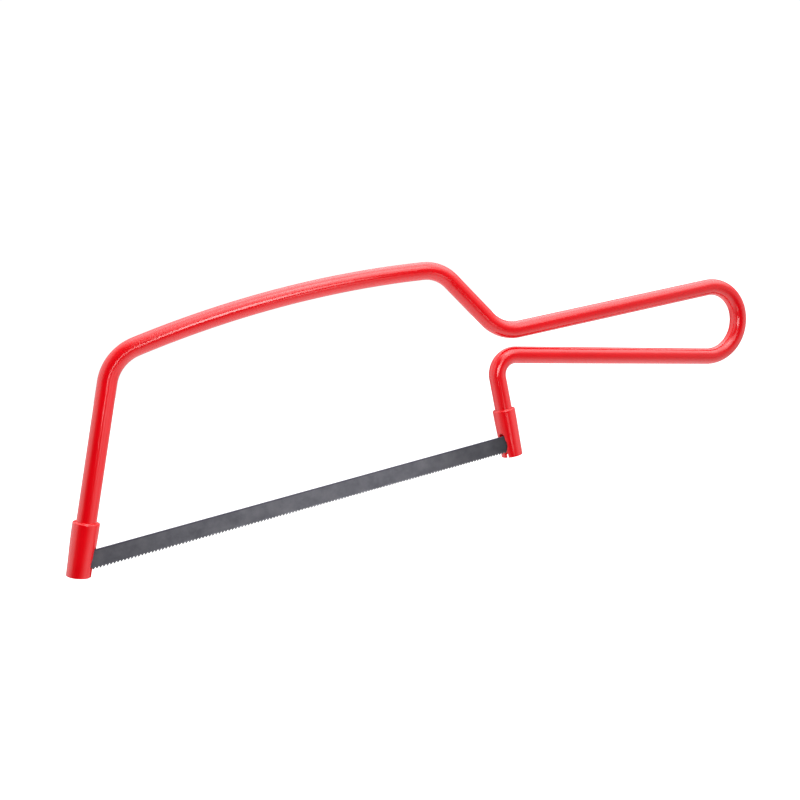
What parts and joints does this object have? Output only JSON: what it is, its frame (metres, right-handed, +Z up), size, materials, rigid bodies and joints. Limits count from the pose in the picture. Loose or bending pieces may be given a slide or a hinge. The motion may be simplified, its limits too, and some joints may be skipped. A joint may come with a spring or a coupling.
{
  "type": "junior hacksaw",
  "caption": "Junior hacksaw: a bent red steel rod forms bow and handle loop, and springs open to hold a thin pinned blade between two slotted sleeves.",
  "frame": {"origin": "centre of the saw's bounding box, in the frame's own plane", "axes": "+X along the blade towards the handle, +Y across the saw's thickness, +Z up from the blade's teeth to the bow"},
  "size_m": [0.2584, 0.0082, 0.075],
  "materials": {
    "red_paint": "glossy red paint with a light orange peel",
    "blade_steel": "blued dark steel, satin",
    "pin_steel": "dark steel, riveted"
  },
  "bodies": {
    "frame": {"frame_rod": "red_paint", "rear_sleeve": "red_paint"},
    "front_arm": {"front_arm_rod": "red_paint", "front_sleeve": "red_paint"},
    "blade": {"blade": "blade_steel", "front_blade_pin": "pin_steel", "rear_blade_pin": "pin_steel"}
  },
  "joints": [
    {"name": "frame_flex", "type": "hinge", "parent": "frame", "child": "front_arm", "pos_m": [-0.04432, 0, 0.03417], "axis": [0, -1, 0], "range_deg": [0, 3.3], "stiffness_Nm_per_rad": 5, "springref_deg": -2.86},
    {"name": "blade_drop", "type": "slide", "parent": "frame", "child": "blade", "axis": [0, 0, -1], "range_m": [0, 0.014]}
  ],
  "couplings": [
    {"joint": "blade_drop", "follows": "frame_flex", "m_per_rad": 0.238}
  ]
}
